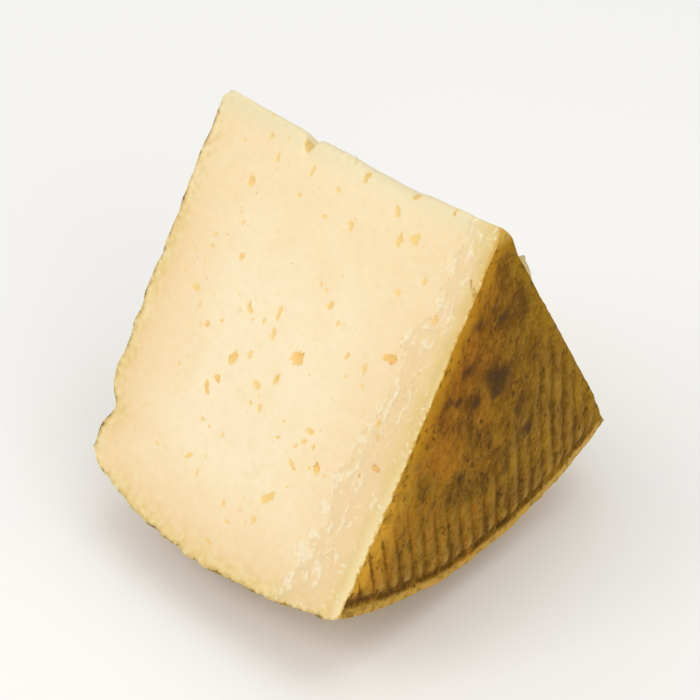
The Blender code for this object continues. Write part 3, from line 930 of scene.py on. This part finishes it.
# %% [markdown]
# ## Fewer faces where it is plain
#
# The even grid spends as many faces on smooth paste as on torn curd. Decimate joins the faces that
# lie almost in one plane and keeps the others, so the detail stays and the piece becomes light
# enough to hand on.

# %% Thin the grid out
BODY_TRIANGLES = 145000
before = count_triangles(body.data)
thin = body.modifiers.new("fewer_faces", "DECIMATE")
thin.ratio = min(1.0, BODY_TRIANGLES / before)
settle(body)
print("triangles:", before, "->", count_triangles(body.data))

# %% [markdown]
# ## Eyes
#
# Eyes are small holes between the curds: rounded pockets, slits and ragged gaps, one to five
# millimetres long. The larger and the fainter ones on the shown cut are placed one by one, because
# people know a cheese by them. The smallest there, and all on the hidden cut, are drawn at random
# with a fixed seed, kept apart and clear of the rind.
#
# A node tree puts a ball on each place, stretches and turns it, and pushes its walls in and out by
# noise. The ball's middle lies above the cut, so only a shallow bowl of it is in the paste. A
# Boolean then takes the balls out of the body, which gives each eye a real rim and a real floor.

# %% Where the eyes are
Eye = namedtuple("Eye", "x radius length width turn depth")
LARGE_EYES = (
    (5.2, 48.2, 4.3, 3.0, 20, 1.0), (28.4, 37.2, 4.2, 2.6, 65, 1.0), (12.0, 81.2, 4.8, 2.1, 30, 0.9),
    (-11.8, 56.5, 3.8, 2.3, 5, 0.7), (21.8, 68.4, 3.4, 2.3, -30, 1.0), (19.0, 12.7, 4.0, 1.8, 0, 0.9),
    (-15.9, 66.3, 4.2, 1.7, -30, 1.0), (22.6, 11.3, 3.1, 2.3, 10, 0.5), (-12.8, 43.7, 4.2, 1.6, -30, 0.8),
    (8.3, 33.8, 3.1, 2.0, 35, 1.0), (-29.8, 46.6, 2.9, 2.1, 75, 0.3), (-25.7, 17.2, 3.2, 1.8, -25, 0.8),
    (5.3, 15.6, 3.2, 1.6, -30, 0.8), (15.6, 7.6, 2.7, 1.8, -10, 0.7), (23.2, 42.5, 3.1, 1.5, -5, 0.6),
    (-4.1, 41.4, 3.8, 1.2, 0, 0.7), (-13.9, 83.5, 3.3, 1.1, 40, 0.9), (14.9, 70.9, 3.1, 1.4, -60, 0.7),
    (10.6, 88.1, 2.8, 1.5, 0, 0.7), (23.8, 23.5, 2.2, 1.9, 0, 0.3), (17.5, 42.0, 2.9, 1.4, 30, 1.0),
    (11.9, 36.5, 3.1, 1.3, 0, 0.8), (-1.5, 9.5, 2.3, 1.7, 0, 0.3), (-2.8, 59.2, 2.3, 1.7, -75, 0.5),
    (-21.1, 9.3, 3.3, 1.1, 0, 0.9), (-13.8, 63.2, 2.1, 1.7, 0, 1.0), (2.2, 55.2, 2.5, 1.4, 10, 0.8),
    (-3.6, 46.4, 2.6, 1.3, -15, 0.8), (-22.7, 53.0, 2.1, 1.5, -15, 0.9), (36.1, 60.6, 2.1, 1.5, -70, 0.7),
    (35.4, 24.7, 2.0, 1.5, 0, 0.7), (-9.4, 86.0, 2.7, 1.1, 0, 0.7), (32.3, 51.6, 2.1, 1.4, -10, 0.8),
    (-20.2, 34.5, 1.7, 1.5, 0, 0.9), (0.6, 63.9, 2.2, 1.1, 0, 0.7), (-13.9, 73.7, 2.1, 1.1, -70, 0.8),
    (-6.7, 74.2, 1.9, 1.2, -10, 0.9), (-10.2, 8.4, 2.8, 1.0, 0, 0.9), (16.0, 61.6, 1.7, 1.3, 80, 0.7),
    (0.8, 88.3, 1.9, 1.1, -40, 0.8), (-23.6, 26.9, 1.8, 1.0, 15, 0.7), (-24.9, 5.6, 1.5, 1.1, 20, 0.8),
    (-11.2, 14.7, 1.5, 1.1, 10, 0.9), (-11.1, 74.6, 1.3, 0.9, -40, 1.2), (1.3, 98.7, 1.9, 0.8, -75, 1.2),
    (4.5, 4.4, 2.1, 1.4, 0, 0.6), (-13.8, 3.5, 1.9, 2.1, 35, 0.7), (18.6, 2.6, 1.5, 0.9, 10, 1.2),
    (29.6, 2.0, 1.4, 0.8, 0, 1.2),
)
FAINT_EYES = (
    (-32.2, 9.4, 1.5, 1.1, 10, 0.3), (-2.4, 16.4, 1.8, 1.4, 70, 0.45), (-30.1, 32.8, 1.1, 0.8, 0, 0.4),
    (-29.6, 35.7, 1.1, 0.9, 60, 0.5), (-30.3, 39.6, 1.5, 0.7, -30, 0.4), (3.7, 30.8, 1.6, 0.9, 0, 0.9),
    (5.7, 31.1, 1.4, 0.9, 20, 0.9), (-17.0, 42.5, 2.5, 1.0, -25, 0.5), (-7.5, 45.1, 1.6, 1.2, 0, 0.4),
    (9.0, 43.9, 1.8, 1.3, 10, 0.6), (24.2, 46.1, 1.5, 0.8, -60, 0.5), (-35.3, 44.3, 1.2, 0.8, -60, 0.5),
    (-19.1, 50.5, 1.3, 1.1, 0, 0.8), (-7.6, 53.7, 2.1, 1.0, 15, 0.5), (-2.4, 63.8, 1.2, 1.1, 0, 0.8),
    (-26.4, 65.2, 1.4, 1.0, 0, 0.9), (-24.7, 62.6, 1.5, 0.6, -10, 0.4), (15.7, 64.5, 1.7, 1.0, 40, 0.6),
    (18.6, 64.7, 1.6, 1.0, 0, 0.8), (8.4, 67.2, 1.2, 0.8, 40, 0.8), (7.3, 68.8, 1.2, 0.7, 30, 0.4),
    (24.1, 69.0, 1.5, 0.9, 10, 0.8), (19.5, 69.3, 1.1, 0.8, 0, 0.7), (-13.2, 71.3, 1.9, 1.0, 0, 0.4),
    (-8.4, 68.8, 1.1, 0.8, 0, 0.4), (15.9, 76.2, 1.6, 1.1, 70, 0.6), (8.3, 84.7, 1.4, 0.9, 20, 0.7),
    (-8.9, 81.2, 2.4, 1.0, 5, 0.6), (8.7, 89.3, 1.4, 1.1, 20, 0.6), (20.0, 89.4, 1.1, 0.9, 0, 0.7),
    (4.2, 91.7, 1.7, 0.9, 75, 0.6), (1.5, 77.8, 1.4, 0.8, 0, 0.4), (-0.5, 85.0, 1.1, 0.8, 0, 0.4),
    (33.4, 54.5, 2.2, 1.1, -35, 0.6), (32.8, 64.2, 1.3, 1.0, 0, 0.5), (29.1, 18.4, 1.9, 1.5, 0, 0.35),
    (29.5, 32.0, 1.0, 0.7, 50, 0.8), (-26.3, 84.2, 1.5, 0.8, -50, 0.4), (-23.9, 85.5, 2.1, 1.0, -75, 0.4),
    (-20.5, 84.8, 1.5, 0.8, 60, 0.4),
)
SHOWN_EYES = [Eye(*sizes) for sizes in (*LARGE_EYES, *FAINT_EYES)]
Spread = namedtuple("Spread", "count lengths slimness depths x radii seed")
SMALL_EYES = Spread(40, (0.9, 1.6), (0.5, 0.8), (0.3, 0.6), (-36, 26), (7, 94), 6)
HIDDEN_EYES = Spread(100, (0.9, 4.4), (0.35, 0.75), (0.4, 1.0), (-36, 34), (4, 97), 4)
EYE_TURN = 70
SIZE_FAVOURS_SMALL = 2.2
KEPT_APART = 0.55  # as a share of the two lengths
LEAST_GAP = 0.3  # mm


def scattered(spread, taken=()):
    """Eyes drawn at random: most are small, and none touches another one."""
    rng = random.Random(spread.seed)
    found = []
    while len(found) < spread.count:
        low, high = spread.lengths
        length = low + (high - low) * rng.random() ** SIZE_FAVOURS_SMALL
        width = length * rng.uniform(*spread.slimness)
        x, radius = rng.uniform(*spread.x), rng.uniform(*spread.radii)
        eye = Eye(x, radius, length, width, rng.uniform(-EYE_TURN, EYE_TURN), rng.uniform(*spread.depths))
        gaps = [
            math.hypot(x - other.x, radius - other.radius) - KEPT_APART * (length + other.length)
            for other in (*taken, *found)
        ]
        if min(gaps, default=1.0) > LEAST_GAP:
            found.append(eye)
    return found


eyes = [(eye, -1) for eye in (*SHOWN_EYES, *scattered(SMALL_EYES, SHOWN_EYES))]
eyes += [(eye, 1) for eye in scattered(HIDDEN_EYES)]
print(len(eyes), "eyes, the longest", max(eye.length for eye, side in eyes), "mm")

# %% Open the eyes
EYE_DEPTH = 0.5
EYE_RAISED = 0.45  # how far the ball's middle lies above the cut, as a share of its half depth
EYE_WIDER = 0.5 / math.sqrt(1.0 - EYE_RAISED ** 2)
EYE_SPLITS = 3  # how often the ball's faces are split
LOWERED = 0.6  # how far an eye follows the torn layers down, as a share
LUMPS = {"Lump size": 1.5 * MM, "Lump share": 0.62, "Nick size": 0.6 * MM, "Nick share": 0.17}


def eye_places():
    """One point for each eye, with its half sizes and the way it is turned."""
    places, sizes, turns = [], [], []
    for eye, side in eyes:
        angle = side * HALF_ANGLE
        outward = Vector((0.0, math.sin(angle), -math.cos(angle)))
        inward = -cut_normal(side)
        axes = Matrix((outward.cross(inward), outward, inward)).transposed()
        turned = axes @ Matrix.Rotation(math.radians(eye.turn), 3, "Z")
        half_depth = EYE_DEPTH * eye.depth * eye.width
        half = Vector((EYE_WIDER * eye.width, EYE_WIDER * eye.length, half_depth)) * MM
        on_cut = wheel_point(eye.x * MM + WHEEL_MIDDLE, eye.radius * MM, angle)
        gone = past_tear(eye.x * MM, eye.radius * MM) / MM / LAYER_WIDTH if side < 0 else 0.0
        torn = LOWERED * min(max(gone, 0.0), LAYERS) * SKIN["Layer height"]
        places.append(on_cut - inward * (EYE_RAISED * half.z - torn))
        sizes.append(half)
        turns.append(turned.to_quaternion())
    mesh = bpy.data.meshes.new("eye_places")
    mesh.from_pydata(places, [], [])
    attribute = mesh.attributes.new("size", "FLOAT_VECTOR", "POINT")
    attribute.data.foreach_set("vector", np.array(sizes).ravel())
    attribute = mesh.attributes.new("turned", "QUATERNION", "POINT")
    attribute.data.foreach_set("value", np.array(turns).ravel())
    return mesh


def eye_tree():
    tree, given = new_tree("eyes_of_the_cheese", LUMPS)
    ball = add(tree, "GeometryNodeMeshIcoSphere", [1.0, EYE_SPLITS])
    size = add(tree, "GeometryNodeInputNamedAttribute", ["size"], data_type="FLOAT_VECTOR")
    turned = add(tree, "GeometryNodeInputNamedAttribute", ["turned"], data_type="QUATERNION")
    places = given["Geometry"]
    balls = add(tree, "GeometryNodeInstanceOnPoints", [places, True, ball, None, None, turned, size])
    whole = add(tree, "GeometryNodeRealizeInstances", [balls])
    place = add(tree, "GeometryNodeInputPosition")
    normal = add(tree, "GeometryNodeInputNormal")
    half_width = add(tree, "ShaderNodeSeparateXYZ", [size], output="X")
    height = 0.0
    for kind in ("Lump", "Nick"):
        per = add(tree, "ShaderNodeMath", [1.0, given[kind + " size"]], operation="DIVIDE")
        noisy = add(tree, "ShaderNodeTexNoise", [place, per, 1.0, 0.5])
        lump = add(tree, "ShaderNodeMapRange", [noisy, 0.25, 0.75, -1.0, 1.0])
        share = add(tree, "ShaderNodeMath", [lump, given[kind + " share"]], operation="MULTIPLY")
        height = add(tree, "ShaderNodeMath", [share, half_width, height], operation="MULTIPLY_ADD")
    # The walls move sideways only, so that a bowl keeps its depth and its whole mouth stays open
    upright = add(tree, "FunctionNodeRotateVector", [(0.0, 0.0, 1.0), turned])
    share = add(tree, "ShaderNodeVectorMath", [normal, upright], operation="DOT_PRODUCT")
    upwards = add(tree, "ShaderNodeVectorMath", [upright, share], operation="SCALE")
    sideways = add(tree, "ShaderNodeVectorMath", [normal, upwards], operation="SUBTRACT")
    steepness = add(tree, "ShaderNodeVectorMath", [sideways], operation="LENGTH")
    wall = add(tree, "ShaderNodeMapRange", [steepness, 0.0, 0.4, 0.0, 1.0])
    height = add(tree, "ShaderNodeMath", [height, wall], operation="MULTIPLY")
    sideways = add(tree, "ShaderNodeVectorMath", [sideways], operation="NORMALIZE")
    offset = add(tree, "ShaderNodeVectorMath", [sideways, height], operation="SCALE")
    lumpy = add(tree, "GeometryNodeSetPosition", [whole, True, place, offset])
    add(tree, "NodeGroupOutput", [add(tree, "GeometryNodeSetMaterial", [lumpy, True, PASTE])])
    return tree


cutters = run_tree(new_object("eye_lumps", eye_places()), eye_tree(), LUMPS)
opened = body.modifiers.new("eyes", "BOOLEAN")
opened.operation = "DIFFERENCE"
opened.solver = "MANIFOLD"
opened.object = cutters
settle(body)
bpy.data.objects.remove(cutters)
print("body with its eyes:", count_triangles(body.data), "triangles")

# %% [markdown]
# ## What each point knows about its place
#
# The materials need to know where on the wheel a point lies: how far from each rind, from the cuts
# and from the tip, how deep in an eye, on which ridge, and whether on a stain or a smear. All of
# that follows from the same functions that made the shape, so it is worked out from the finished
# points and stored on the mesh as named values.

# %% Mark the surface
Stain = namedtuple("Stain", "across down size")
STAINS = (
    Stain(1.6, 40.6, 3.4), Stain(2.4, 44.4, 3.2), Stain(-8.3, 33.5, 2.3), Stain(-14.9, 39.4, 2.2),
    Stain(-11.8, 40.6, 1.3), Stain(-5.4, 43.8, 2.2), Stain(-6.3, 22.1, 2.0), Stain(2.2, 25.3, 2.4),
    Stain(1.8, 7.4, 1.0), Stain(12.4, 47.3, 1.4), Stain(9.9, 54.5, 1.6), Stain(-9.1, 64.8, 2.0),
    Stain(-25.1, 51.2, 1.9), Stain(-18.4, 66.6, 1.5), Stain(-41.7, 79.2, 2.2), Stain(14.3, 64.0, 3.0),
    Stain(4.8, 9.6, 1.1), Stain(13.6, 24.6, 1.1), Stain(15.9, 30.4, 0.9), Stain(21.5, 38.0, 1.1),
)
Smear = namedtuple("Smear", "x radius size")
SMEARS = (Smear(40.1, 13.1, 0.6), Smear(40.8, 14.0, 0.5), Smear(41.5, 14.9, 0.6), Smear(42.4, 15.7, 1.0))
# The colour inside an eye is painted shade
EYE_EDGE = (1.25, 1.6)  # in half sizes of an eye: where its colour is full, and where it has ended
DEEPEST_EYE = 6 * MM
BEFORE_TEAR = -20.0

EYES_OF = {}
for side in (-1, 1):
    here = [eye for eye, on in eyes if on == side]
    rows = [(e.x, e.radius, e.length, e.width, math.radians(-side * e.turn)) for e in here]
    EYES_OF[side] = np.array(rows).T


def inside_eye(x, radius, side):
    """1 in an eye of a cut and 0 on the paste between eyes."""
    at_x, at_radius, *form = EYES_OF[side]
    out = ellipse(x / MM - at_x, radius / MM - at_radius, *form)
    return 1.0 - smooth(float(out.min()), *EYE_EDGE)


def marks_of(point):
    """Everything that the materials ask about one point, by name. Distances are in millimetres."""
    x, radius, angle = on_wheel(point)
    side = -1 if angle < 0 else 1
    near, far = face_height(NEAR_FACE, radius, angle), face_height(FAR_FACE, radius, angle)
    face = NEAR_FACE if x > 0 else FAR_FACE
    inward, line, strength = board_print(face, radius, angle)
    under_plane = from_cut(radius, angle)
    depth = under_plane + cut_height(x, radius, side)
    across, down = radius * math.sin(angle) / MM, radius * math.cos(angle) / MM
    stained = sum(bell(math.hypot(across - s.across, down - s.down), s.size) for s in STAINS)
    smeared = max(bell(math.hypot(x / MM - s.x, radius / MM - s.radius), s.size) for s in SMEARS)
    return {
        "to_near": (near - x) / MM,
        "to_far": (far + x) / MM,
        "to_rim": (rim_radius(x, angle) - radius) / MM,
        "to_cut": under_plane / MM,
        "from_tip": radius / MM,
        "eye_depth": depth / MM * inside_eye(x, radius, side) if 0 < depth < DEEPEST_EYE else 0.0,
        "chip": chip(x, radius) if side < 0 else 0.0,
        "past_tear": past_tear(x, radius) / MM if side < 0 else BEFORE_TEAR,
        "inward": inward / MM,
        "ridge_line": line,
        "ridge_strength": strength,
        "trough": bell(inward - face.trough_in, 1.1 * face.trough_width),
        "stain": min(stained, 1.0) if x > 0 else 0.0,
        "smear": smeared if side < 0 else 0.0,
        "raised": cut_height(x, radius, side) / MM if side > 0 else 0.0,
        "plait": plait(x, angle * RIM_RADIUS),
    }


def mark_surface(mesh):
    marked = [marks_of(point) for point in read_points(mesh)]
    for name in marked[0]:
        write_mark(mesh, name, [marks[name] for marks in marked])
    return {name: (min(m[name] for m in marked), max(m[name] for m in marked)) for name in marked[0]}


for name, (low, high) in mark_surface(body.data).items():
    print(f"{name:16s} {low:8.2f} {high:8.2f}")

# %% [markdown]
# ## Crumbs
#
# A knife leaves crumbs of curd behind: along the torn step and on the crumbled stretch of the tip
# edge. Each is a flat chip, a millimetre long at most, that sticks to the paste. A node tree strews
# points over the body where a mark allows it, and puts a small ragged chip on each.

# %% Strew the crumbs
CRUMBS = {"Crumbs per square metre": 900000.0, "Smallest": 0.10 * MM, "Largest": 0.34 * MM, "Seed": 5}
CRUMB_FLATNESS = 0.3
ON_A_CUT = 0.6 * MM
TIP_REACH = 4 * MM
CLEAR_OF_RIND = 2.5 * MM
ON_TIP, ALONG_TEAR, PAST_TEAR = 0.05, 0.04, 0.006  # how likely a crumb is

CRUMB = shade(
    new_material("curd_crumbs_dried"),
    {"Base Color": linear("#F6E2BA"), "Roughness": 0.6, "IOR": 1.45, "Specular IOR Level": 0.3},
)


def crumb_chance(point):
    """How likely a crumb sticks to a place: never on plain paste, and most along the tear."""
    x, radius, angle = on_wheel(point)
    if from_cut(radius, angle) > ON_A_CUT and radius > TIP_REACH:
        return 0.0
    if min(HALF_HEIGHT - abs(x), rim_radius(x, angle) - radius) < CLEAR_OF_RIND:
        return 0.0
    if radius < TIP_REACH:
        return ON_TIP * bell(x - TIP_CRUMBLED_AT, TIP_CRUMBLED_LENGTH)
    past = past_tear(x, radius) - MM
    return ALONG_TEAR * bell(past, 1.6 * MM) + PAST_TEAR * smooth(past, 0.0, MM) if angle < 0 else 0.0


def crumb_tree():
    tree, given = new_tree("crumbs_of_curd", CRUMBS)
    chance = add(tree, "GeometryNodeInputNamedAttribute", ["crumb_chance"], data_type="FLOAT")
    densest, seed = given["Crumbs per square metre"], given["Seed"]
    density = add(tree, "ShaderNodeMath", [chance, densest], operation="MULTIPLY")
    strewn = add(tree, "GeometryNodeDistributePointsOnFaces", [given["Geometry"], True, density, seed])
    lying = strewn.node.outputs["Rotation"]
    sizes = [given["Smallest"], given["Largest"], None, seed]
    shapes = [(0.7, 0.5, 0.8), (1.5, 1.0, 1.2), None, seed]
    turns = [(-0.4, -0.4, 0.0), (0.4, 0.4, math.tau), None, seed]
    size = add(tree, "FunctionNodeRandomValue", sizes, data_type="FLOAT")
    shape = add(tree, "FunctionNodeRandomValue", shapes, data_type="FLOAT_VECTOR")
    turn = add(tree, "FunctionNodeRandomValue", turns, data_type="FLOAT_VECTOR")
    turned = add(tree, "FunctionNodeRotateRotation", [lying, turn], rotation_space="LOCAL")
    chip = add(tree, "GeometryNodeMeshIcoSphere", [1.0, 2])
    flat = add(tree, "GeometryNodeTransform", [chip, None, None, None, (1.0, 1.0, CRUMB_FLATNESS)])
    scale = add(tree, "ShaderNodeVectorMath", [shape, size], operation="SCALE")
    chips = add(tree, "GeometryNodeInstanceOnPoints", [strewn, True, flat, None, None, turned, scale])
    whole = add(tree, "GeometryNodeRealizeInstances", [chips])
    place = add(tree, "GeometryNodeInputPosition")
    noisy = add(tree, "ShaderNodeTexNoise", [place, 1 / (0.5 * MM), 1.0, 0.5], output="Color")
    ragged = add(tree, "ShaderNodeVectorMath", [noisy, (0.5, 0.5, 0.5)], operation="SUBTRACT")
    offset = add(tree, "ShaderNodeVectorMath", [ragged, 0.5 * MM], operation="SCALE")
    broken = add(tree, "GeometryNodeSetPosition", [whole, True, place, offset])
    add(tree, "NodeGroupOutput", [add(tree, "GeometryNodeSetMaterial", [broken, True, CRUMB])])
    return tree


strewn_on = body.data.copy()
write_mark(strewn_on, "crumb_chance", [crumb_chance(point) for point in read_points(strewn_on)])
crumbs = run_tree(new_object("curd_crumbs", strewn_on), crumb_tree(), CRUMBS)
print("crumbs:", len(crumbs.data.polygons), "faces")

# %% Shade smooth, with creases kept sharp
for piece, crease in ((body, 40), (crumbs, 60)):
    piece.data.shade_smooth()
    piece.data.set_sharp_from_angle(angle=math.radians(crease))
    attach(piece, "root")
    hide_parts("cheese_wedge")
    print(piece.name, len(piece.data.vertices), "points")

# %% [markdown]
# ## Floor, light and camera
#
# The picture is a plain studio shot: a white floor, a large soft light high on the left and an even
# fill from all round, so the shadows stay pale. The camera looks down on the tip from the right,
# through a long lens, and is tilted by a degree.

# %% Floor and light
FLOOR_SIZE = 6.0
WORLD_STRENGTH = 0.62
Softbox = namedtuple("Softbox", "name place size power")
SOFTBOXES = (
    Softbox("key_from_upper_left", (-0.35, -0.95, 1.05), 0.8, 5.0),
    Softbox("top", (0.15, 0.25, 1.3), 0.9, 3.0),
    Softbox("fill_from_right", (1.25, -0.45, 0.55), 0.9, 4.0),
)
AIM_HEIGHT = 50 * MM

floor_mesh = bpy.data.meshes.new("floor")
half = FLOOR_SIZE / 2
corners = [(-half, -half, 0), (half, -half, 0), (half, half, 0), (-half, half, 0)]
floor_mesh.from_pydata(corners, [], [(0, 1, 2, 3)])
floor = new_object("floor", floor_mesh)
matte = shade(
    new_material("matte_white_paper"),
    {"Base Color": linear("#FCFBF8"), "Roughness": 0.9, "IOR": 1.4, "Specular IOR Level": 0.1},
)
floor_mesh.materials.append(matte)
floor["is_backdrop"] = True

world = bpy.data.worlds.new("studio")
world.use_nodes = True
background = world.node_tree.nodes["Background"]
background.inputs["Color"].default_value = (1.0, 1.0, 1.0, 1.0)
background.inputs["Strength"].default_value = WORLD_STRENGTH
bpy.context.scene.world = world

for box in SOFTBOXES:
    light = bpy.data.lights.new(box.name, "AREA")
    light.size = box.size
    light.energy = box.power
    lamp = bpy.data.objects.new(box.name, light)
    lamp.location = box.place
    beam = Vector((0, 0, AIM_HEIGHT)) - lamp.location
    lamp.rotation_euler = beam.to_track_quat("-Z", "Y").to_euler()
    bpy.context.scene.collection.objects.link(lamp)
bpy.context.scene.view_settings.view_transform = "Standard"
print("lights:", [box.name for box in SOFTBOXES])

# %% Camera
CAMERA_AIM = Vector((2.65, -3.50, 52.3)) * MM
CAMERA_DISTANCE = 449.3 * MM
CAMERA_AZIMUTH = math.radians(42.882)
CAMERA_ELEVATION = math.radians(37.853)
CAMERA_ROLL = math.radians(1.183)
LENS = 96.1
SENSOR = 36.0

lens = bpy.data.cameras.new("camera")
lens.lens = LENS
lens.sensor_width = SENSOR
camera = bpy.data.objects.new("camera", lens)
turned = Matrix.Rotation(CAMERA_AZIMUTH, 4, "Z")
turned = turned @ Matrix.Rotation(math.pi / 2 - CAMERA_ELEVATION, 4, "X")
turned = turned @ Matrix.Rotation(CAMERA_ROLL, 4, "Z")
camera.matrix_world = Matrix.Translation(CAMERA_AIM + turned.col[2].to_3d() * CAMERA_DISTANCE) @ turned
bpy.context.scene.collection.objects.link(camera)
bpy.context.scene.camera = camera
print("camera at", [round(v, 3) for v in camera.matrix_world.translation])

# %% [markdown]
# ## Check the size and finish
# The fine surface is meant to stay in the construction model's box, so its size is printed.

# %% Print the size
low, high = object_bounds()
print("visual model, mm:", [round(1000 * side, 1) for side in high - low])
